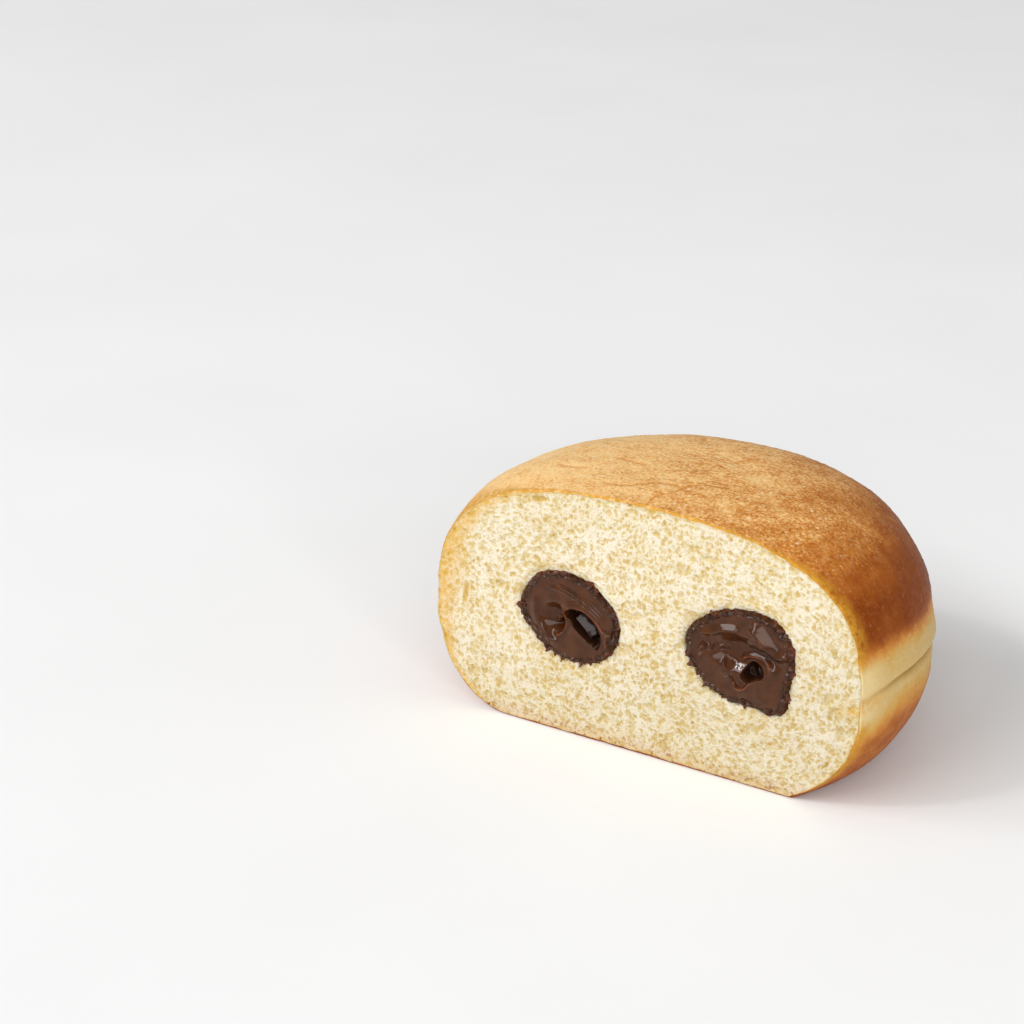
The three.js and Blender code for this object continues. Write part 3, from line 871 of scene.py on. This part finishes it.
def paste(pocket, relief, hollow, lip_highlight_curves):
    angles = np.linspace(0.0, 2.0 * math.pi, PASTE_COLUMNS, endpoint=False)
    outline = pocket_radius(pocket, angles)
    ragged = teeth(angles, pocket)
    shares = (np.arange(1, PASTE_ROWS + 1) / PASTE_ROWS)[:, None]
    reach_out = outline + ragged * smooth_step(shares, 0.9, 1.0)
    u = shares * reach_out * np.cos(angles)
    w = shares * reach_out * np.sin(angles)
    flat = np.stack([u, u * 0.0, w], axis=-1)
    soft = 0.09 * gradient_noise(flat, 2.0, pocket["seed"])
    soft = soft + 0.02 * gradient_noise(flat, 0.9, pocket["seed"] + 1)
    fade = 1.0 - smooth_step(shares, 0.86, 1.0)
    height = (relief(u, w) + soft) * (0.15 + 0.85 * fade) + 0.2 * smooth_step(shares, 0.8, 0.95)
    torn = smooth_step(shares, 0.80, 0.90)
    lumps = 0.62 * gradient_noise(flat, 1.1, pocket["seed"] + 2)
    lumps = lumps + 0.36 * gradient_noise(flat, 0.55, pocket["seed"] + 3)
    lift = 0.75 * np.clip(ragged / 0.8, 0.0, 1.0)
    height = height + lumps * torn + (lift - 0.35) * smooth_step(shares, 0.92, 1.0)
    x = pocket["centre"][0] + u
    z = pocket["centre"][1] + w

    shell = Shell()
    middle_height = relief(np.zeros(1), np.zeros(1))[0]
    middle = shell.add([[pocket["centre"][0], CUT + PASTE_RECESS - middle_height, pocket["centre"][1]]])
    face = shell.add(np.stack([x, CUT + PASTE_RECESS - height, z], axis=-1))
    shell.cap(face[0], middle[0])
    for row in range(PASTE_ROWS - 1):
        shell.bridge(face[row], face[row + 1])
    loop = face[-1]
    for i in range(FINGER_ROWS):
        way = math.sin((i + 0.12) / FINGER_ROWS * math.pi / 2.0)
        share = (1.0 - way ** 2.4) ** 0.5
        ring_x = pocket["centre"][0] + pocket["drift"] * way + share * outline * np.cos(angles)
        ring_y = np.full_like(angles, CUT + PASTE_RECESS + 0.5 + way * pocket["length"])
        ring_z = pocket["centre"][1] + share * outline * np.sin(angles)
        new = shell.add(np.stack([ring_x, ring_y, ring_z], axis=-1))
        shell.bridge(loop, new)
        loop = new
    end = [pocket["centre"][0] + pocket["drift"], CUT + pocket["length"] + 1.0, pocket["centre"][1]]
    tip = shell.add([end])
    shell.cap(loop, tip[0])

    thin = np.zeros(shell.count)
    near_edge = np.broadcast_to(smooth_step(shares, 0.90, 1.0), u.shape)
    thin[1:1 + u.size] = (near_edge * np.clip((ragged + 0.35) / 0.6, 0.0, 1.0)).ravel()
    # Where the paste's painted shade and glow go: the lower the face, the more.
    low = np.zeros(shell.count)
    low[1:1 + u.size] = smooth_step(-height, -0.2, 1.1).ravel()
    # Where the hollows' painted shade goes.
    deep = np.zeros(shell.count)
    deep[1:1 + u.size] = hollow(u, w).ravel()
    # Where the painted highlight along the crests of the curl, arm and ridges goes.
    lip = np.zeros(shell.count)
    for knots in lip_highlight_curves:
        distance, along = beside_curve(u, w, knots)
        ends = smooth_step(along, 0.0, 0.1) * (1.0 - smooth_step(along, 0.9, 1.0))
        lip[1:1 + u.size] = np.maximum(lip[1:1 + u.size], (bell(distance, 0.16) * ends).ravel())
    torn_edge = np.zeros(shell.count)
    torn_edge[1:1 + u.size] = np.broadcast_to(torn, u.shape).ravel()
    marks = {"thin": thin, "low": low, "deep": deep, "lip": lip, "torn": torn_edge}
    shell.build(pocket["name"], chocolate_material(), [pocket["node"]], marks)


# Materials.

def colour(red, green, blue):
    """A colour given as it shows on a screen, from 0 to 255, as the shader wants it."""
    linear = []
    for value in (red, green, blue):
        value = value / 255.0
        linear.append(value / 12.92 if value <= 0.04045 else ((value + 0.055) / 1.055) ** 2.4)
    return (*linear, 1.0)


class Surface:
    """A material under construction."""

    def __init__(self, name):
        self.material = bpy.data.materials.new(name)
        self.material.use_nodes = True
        self.tree = self.material.node_tree
        self.shader = self.tree.nodes["Principled BSDF"]
        self.place = self.node("ShaderNodeTexCoord").outputs["Object"]

    def node(self, kind, **settings):
        node = self.tree.nodes.new(kind)
        for name, value in settings.items():
            setattr(node, name, value)
        return node

    def put(self, value, socket):
        if isinstance(value, bpy.types.NodeSocket):
            self.tree.links.new(value, socket)
        else:
            socket.default_value = value

    def mark(self, name):
        return self.node("ShaderNodeAttribute", attribute_name=name).outputs["Fac"]

    def noise(self, size, detail=2.0, roughness=0.5, stretch=(1.0, 1.0, 1.0)):
        """Noise from 0 to 1 whose features are about size millimetres, longer where stretch is under 1."""
        node = self.node("ShaderNodeTexNoise")
        node.inputs["Scale"].default_value = 1.0 / (size * MM)
        node.inputs["Detail"].default_value = detail
        node.inputs["Roughness"].default_value = roughness
        place = self.node("ShaderNodeVectorMath", operation="MULTIPLY")
        self.put(self.place, place.inputs[0])
        place.inputs[1].default_value = stretch
        self.put(place.outputs[0], node.inputs["Vector"])
        return node.outputs["Fac"]

    def cells(self, size):
        """The distance to the nearest of many scattered points, about size millimetres apart."""
        node = self.node("ShaderNodeTexVoronoi")
        node.inputs["Scale"].default_value = 1.0 / (size * MM)
        self.put(self.place, node.inputs["Vector"])
        return node.outputs["Distance"]

    def walls(self, size, warp):
        """How far inside a small cell a point is, 0 on its thin bent walls, and the cell's chance value."""
        noise = self.node("ShaderNodeTexNoise")
        noise.inputs["Scale"].default_value = 0.8 / (size * MM)
        self.put(self.place, noise.inputs["Vector"])
        bend = self.node("ShaderNodeVectorMath", operation="MULTIPLY_ADD")
        self.put(noise.outputs["Color"], bend.inputs[0])
        bend.inputs[1].default_value = (warp * MM, warp * MM, warp * MM)
        self.put(self.place, bend.inputs[2])
        edge = self.node("ShaderNodeTexVoronoi", feature="DISTANCE_TO_EDGE")
        whole = self.node("ShaderNodeTexVoronoi")
        for node in (edge, whole):
            node.inputs["Scale"].default_value = 1.0 / (size * MM)
            self.put(bend.outputs[0], node.inputs["Vector"])
        parts = self.node("ShaderNodeSeparateColor")
        self.put(whole.outputs["Color"], parts.inputs[0])
        return edge.outputs["Distance"], parts.outputs[0]

    def math(self, operation, a, b, c=0.0, clamp=False):
        node = self.node("ShaderNodeMath", operation=operation, use_clamp=clamp)
        for value, socket in zip((a, b, c), node.inputs):
            self.put(value, socket)
        return node.outputs[0]

    def span(self, value, low, high, to_low=0.0, to_high=1.0):
        node = self.node("ShaderNodeMapRange", interpolation_type="SMOOTHSTEP")
        for item, socket in zip((value, low, high, to_low, to_high), node.inputs):
            self.put(item, socket)
        return node.outputs[0]

    def ramp(self, value, stops):
        """A colour for each value. stops are (value, colour)."""
        node = self.node("ShaderNodeValToRGB")
        elements = node.color_ramp.elements
        while len(elements) < len(stops):
            elements.new(0.5)
        for element, (place, shade) in zip(elements, stops):
            element.position = place
            element.color = shade
        self.put(value, node.inputs["Fac"])
        return node.outputs["Color"]

    def blend(self, share, first, second, kind="MIX"):
        node = self.node("ShaderNodeMix", data_type="RGBA", blend_type=kind)
        self.put(share, node.inputs[0])
        self.put(first, node.inputs[6])
        self.put(second, node.inputs[7])
        return node.outputs[2]

    def bump(self, height, distance, strength=1.0, before=None):
        """Bump of this many millimetres."""
        node = self.node("ShaderNodeBump")
        node.inputs["Strength"].default_value = strength
        node.inputs["Distance"].default_value = distance * MM
        self.put(height, node.inputs["Height"])
        if before is not None:
            self.put(before, node.inputs["Normal"])
        return node.outputs["Normal"]

    def soft(self, weight, radius, scale):
        self.shader.inputs["Subsurface Weight"].default_value = weight
        self.shader.inputs["Subsurface Radius"].default_value = radius
        self.shader.inputs["Subsurface Scale"].default_value = scale * MM


def crust_material():
    s = Surface("crust")
    brown = s.mark("brown")
    mottle = s.noise(3.0, 3.0, 0.6)
    grain = s.noise(0.50, 3.0, 0.7)
    top = s.mark("top")
    lively = s.math("MULTIPLY_ADD", s.mark("grainy"), 0.75, 0.25)
    lively = s.math("MULTIPLY", lively, s.span(brown, 0.56, 0.88, 1.0, 0.12))
    brown = s.math("ADD", brown, s.span(mottle, 0.25, 0.75, -0.07, 0.07))
    brown = s.math("MULTIPLY_ADD", s.span(grain, 0.30, 0.70, -0.13, 0.12), lively, brown, clamp=True)
    base = s.ramp(brown, (
        (0.00, colour(211, 182, 122)),
        (0.14, colour(209, 173, 105)),
        (0.30, colour(211, 161, 80)),
        (0.46, colour(207, 143, 65)),
        (0.64, colour(192, 118, 46)),
        (0.80, colour(162, 86, 26)),
        (1.00, colour(133, 61, 9)),
    ))
    crown = s.ramp(brown, (
        (0.22, colour(252, 218, 162)),
        (0.44, colour(244, 196, 128)),
        (0.62, colour(206, 133, 58)),
        (0.80, colour(166, 88, 27)),
        (1.00, colour(133, 61, 9)),
    ))
    base = s.blend(top, base, crown)
    # Painted highlights: small pale glints on the crust's blisters.
    painted_glint = s.span(s.cells(0.90), 0.08, 0.30, 1.0, 0.0)
    painted_glint = s.math("MULTIPLY", painted_glint, s.span(s.noise(1.6, 2.0), 0.38, 0.56))
    painted_glint = s.math("MULTIPLY", painted_glint, lively)
    base = s.blend(s.math("MULTIPLY", painted_glint, 0.72), base, colour(252, 216, 158))
    net = s.span(s.walls(0.70, 1.3)[0], 0.03, 0.16, 1.0, 0.0)
    net = s.math("MULTIPLY", net, s.span(s.noise(1.3, 2.0), 0.46, 0.62))
    net = s.math("MULTIPLY", net, lively)
    base = s.blend(s.math("MULTIPLY", net, 0.34), base, colour(246, 206, 142))
    # Larger, sparser painted glints.
    large_painted_glint = s.math("MULTIPLY", s.span(s.cells(2.4), 0.05, 0.16, 1.0, 0.0), lively)
    base = s.blend(s.math("MULTIPLY", large_painted_glint, 0.65), base, colour(255, 236, 196))
    line = s.math("ABSOLUTE", s.math("SUBTRACT", s.noise(6.0, 3.0, 0.55, (0.45, 1.0, 1.0)), 0.5), 0.0)
    line = s.math("MULTIPLY", s.span(line, 0.002, 0.020, 1.0, 0.0), s.span(s.noise(9.0, 1.0), 0.46, 0.56))
    line = s.math("MULTIPLY", line, top)
    base = s.blend(s.math("MULTIPLY", line, 0.30), base, colour(206, 126, 50))
    base = s.blend(s.math("MULTIPLY", s.mark("wrinkle"), 0.65), base, colour(204, 124, 42))
    base = s.blend(s.math("MULTIPLY", s.mark("cream"), 0.95), base, colour(227, 201, 145))
    # Partly the crease's own ochre and partly painted shade at the bottom of the narrow crease.
    base = s.blend(s.math("MULTIPLY", s.mark("crease_colour_and_shade"), 0.9), base, colour(160, 116, 46))
    edge = s.math("MULTIPLY", s.mark("cut_edge"), s.span(s.noise(1.0, 2.0, 0.6), 0.25, 0.60, 0.20, 0.92))
    base = s.blend(edge, base, colour(205, 147, 46))
    s.put(base, s.shader.inputs["Base Color"])
    s.put(s.span(grain, 0.2, 0.8, 0.38, 0.60), s.shader.inputs["Roughness"])
    fine = s.bump(s.noise(0.32, 2.0, 0.6), 0.08, 0.8)
    fine = s.bump(s.cells(0.8), 0.10, 0.6, fine)
    s.put(s.bump(line, -0.12, 0.8, fine), s.shader.inputs["Normal"])
    s.soft(0.12, (1.0, 0.40, 0.15), 0.5)
    s.shader.inputs["Specular IOR Level"].default_value = 0.08
    return s.material


def crumb_material():
    s = Surface("crumb")
    fibre = s.noise(0.40, 3.0, 0.7)
    patch = s.noise(5.0, 2.0, 0.5)
    distance, chance = s.walls(0.95, 0.55)
    cell = s.math("MULTIPLY", s.span(distance, 0.03, 0.30), s.span(chance, 0.15, 0.95, 0.10, 1.0))
    distance, chance = s.walls(0.50, 0.30)
    tiny = s.math("MULTIPLY", s.span(distance, 0.03, 0.28), s.span(chance, 0.10, 0.90, 0.20, 1.0))
    depth = s.math("MULTIPLY_ADD", cell, 0.34, s.math("MULTIPLY", s.mark("pore_shade_and_glow"), 0.50))
    depth = s.math("MULTIPLY_ADD", tiny, 0.26, depth)
    depth = s.math("ADD", depth, s.span(fibre, 0.28, 0.72, -0.10, 0.10))
    depth = s.math("ADD", depth, s.span(patch, 0.3, 0.7, -0.05, 0.08), clamp=True)
    # Painted shade and glow: the deeper the pore, the darker and more ochre the crumb, for the shade in the
    # pores and the light glowing through their thin walls.
    base = s.ramp(depth, (
        (0.00, colour(227, 218, 199)),
        (0.25, colour(216, 201, 165)),
        (0.55, colour(207, 182, 126)),
        (1.00, colour(196, 160, 84)),
    ))
    # Painted shade: the crumb darker towards the bottom and the right of the cut.
    base = s.blend(s.mark("painted_shade"), base, colour(242, 241, 237), "MULTIPLY")
    golden = s.math("MULTIPLY", s.mark("golden"), s.span(s.noise(0.8, 2.0), 0.3, 0.65, 0.55, 1.0))
    base = s.blend(golden, base, colour(212, 165, 66))
    # Painted shade: a darker olive band in the crumb just beside each pocket.
    paste_shade = s.math("MULTIPLY", s.mark("beside_paste"), s.span(s.noise(0.7, 2.0), 0.42, 0.62))
    base = s.blend(s.math("MULTIPLY", paste_shade, 0.40), base, colour(166, 140, 94))
    near_base = s.span(s.mark("from_base"), 0.5, 3.6, 1.0, 0.0)
    base = s.blend(s.math("MULTIPLY", near_base, 0.34), base, colour(192, 152, 100))
    scorch = s.math("MULTIPLY", near_base, s.span(s.noise(0.7), 0.54, 0.66))
    base = s.blend(s.math("MULTIPLY", scorch, 0.7), base, colour(146, 96, 44))
    s.put(base, s.shader.inputs["Base Color"])
    s.shader.inputs["Roughness"].default_value = 0.8
    s.shader.inputs["Specular IOR Level"].default_value = 0.2
    fine = s.bump(fibre, 0.10, 0.8)
    fine = s.bump(tiny, -0.06, 0.7, fine)
    s.put(s.bump(cell, -0.12, 0.8, fine), s.shader.inputs["Normal"])
    s.soft(0.4, (1.0, 0.75, 0.4), 0.4)
    return s.material


def chocolate_material():
    s = Surface("chocolate")
    streak = s.noise(2.2, 2.0, 0.5)
    base = s.ramp(s.span(streak, 0.3, 0.7), (
        (0.0, colour(64, 35, 18)),
        (1.0, colour(80, 44, 20)),
    ))
    # Painted shade and glow: the low parts of the paste darker and warmer brown, for the shade in the basins
    # and the light glowing through the paste there.
    base = s.blend(s.math("MULTIPLY", s.mark("low"), 0.85), base, colour(64, 29, 4))
    # Partly the torn rim's own darker colour and partly painted shade between its lumps.
    mottle = s.math("MULTIPLY", s.mark("torn"), s.span(s.noise(0.7, 2.0), 0.35, 0.6))
    base = s.blend(s.math("MULTIPLY", mottle, 0.75), base, colour(38, 17, 9))
    # Painted shade: the deep hollows coloured near black.
    base = s.blend(s.math("MULTIPLY", s.mark("deep"), 0.92), base, colour(36, 20, 13))
    base = s.blend(s.math("MULTIPLY", s.mark("thin"), 0.60), base, colour(118, 54, 26))
    # Painted highlight: a thin orange line of light along the crests of the curl, the arm and the ridges.
    lip = s.math("MULTIPLY", s.mark("lip"), s.span(s.noise(1.1, 2.0), 0.35, 0.6, 0.15, 0.8))
    base = s.blend(lip, base, colour(124, 66, 36))
    s.put(base, s.shader.inputs["Base Color"])
    s.put(s.span(s.noise(1.2, 2.0), 0.3, 0.7, 0.07, 0.16), s.shader.inputs["Roughness"])
    s.put(s.bump(s.noise(0.6, 2.0), 0.015, 0.5), s.shader.inputs["Normal"])
    s.soft(0.1, (1.0, 0.4, 0.2), 0.5)
    s.shader.inputs["Specular IOR Level"].default_value = 0.25
    return s.material


# Table, light and camera.

def table():
    bpy.ops.mesh.primitive_plane_add(size=8.0)
    floor = bpy.context.object
    floor.name = "table"
    s = Surface("table")
    base = s.ramp(s.noise(60.0, 2.0), ((0.3, colour(247, 247, 247)), (0.7, colour(250, 250, 250))))
    s.put(base, s.shader.inputs["Base Color"])
    s.shader.inputs["Roughness"].default_value = 0.7
    s.shader.inputs["Specular IOR Level"].default_value = 0.1
    floor.data.materials.append(s.material)


def area_light(name, place, size, power):
    """A lamp of this width and height, in metres, that faces the doughnut."""
    data = bpy.data.lights.new(name, "AREA")
    data.shape = "RECTANGLE"
    data.size = size[0]
    data.size_y = size[1]
    data.energy = power
    lamp = bpy.data.objects.new(name, data)
    back = np.array(place) - np.array([0.0, 0.0, 0.02])
    back = back / np.linalg.norm(back)
    right = np.cross([0.0, 0.0, 1.0], back)
    right = right / np.linalg.norm(right)
    up = np.cross(back, right)
    lamp.matrix_world = Matrix([
        [right[0], up[0], back[0], place[0]],
        [right[1], up[1], back[1], place[1]],
        [right[2], up[2], back[2], place[2]],
        [0.0, 0.0, 0.0, 1.0],
    ])
    bpy.context.scene.collection.objects.link(lamp)


def lights():
    world = bpy.data.worlds.new("studio")
    world.use_nodes = True
    background = world.node_tree.nodes["Background"]
    background.inputs["Color"].default_value = (1.0, 1.0, 1.0, 1.0)
    background.inputs["Strength"].default_value = 0.40
    bpy.context.scene.world = world
    area_light("key", (-1.84, -2.36, 2.34), (4.6, 0.8), 88.0)
    area_light("fill", (1.21, -2.01, 1.13), (2.1, 1.1), 27.0)
    area_light("spark", (-0.50, -0.62, 0.80), (0.10, 0.10), 1.3)
    area_light("glint", (0.85, -0.60, 0.42), (0.10, 0.10), 0.8)
    bpy.context.scene.view_settings.view_transform = "Standard"


CAMERA_EYE = (0.16697, -0.34855, 0.19531)
CAMERA_RIGHT = (0.8564, 0.5160, 0.0181)
CAMERA_UP = (-0.2161, 0.3265, 0.9202)
CAMERA_BACK = (0.4689, -0.7919, 0.3911)


def camera():
    data = bpy.data.cameras.new("camera")
    data.lens = 90.25
    data.sensor_width = 36.0
    data.clip_start = 0.01
    eye = bpy.data.objects.new("camera", data)
    rows = []
    for i in range(3):
        rows.append([CAMERA_RIGHT[i], CAMERA_UP[i], CAMERA_BACK[i], CAMERA_EYE[i]])
    rows.append([0.0, 0.0, 0.0, 1.0])
    eye.matrix_world = Matrix(rows)
    bpy.context.scene.collection.objects.link(eye)
    bpy.context.scene.camera = eye


lowest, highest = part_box("dough")
AXIS = np.array([0.0, lowest[1] - CUT * MM, 0.0])
LEFT["node"] = "filling_left"
RIGHT["node"] = "filling_right"

crust()
crumb()
paste(LEFT, left_relief, left_hollow, (LEFT_CURL, LEFT_ARM, LEFT_RIDGE))
paste(RIGHT, right_relief, right_hollow, (RIGHT_RIDGE, RIGHT_TIP))
table()
lights()
camera()
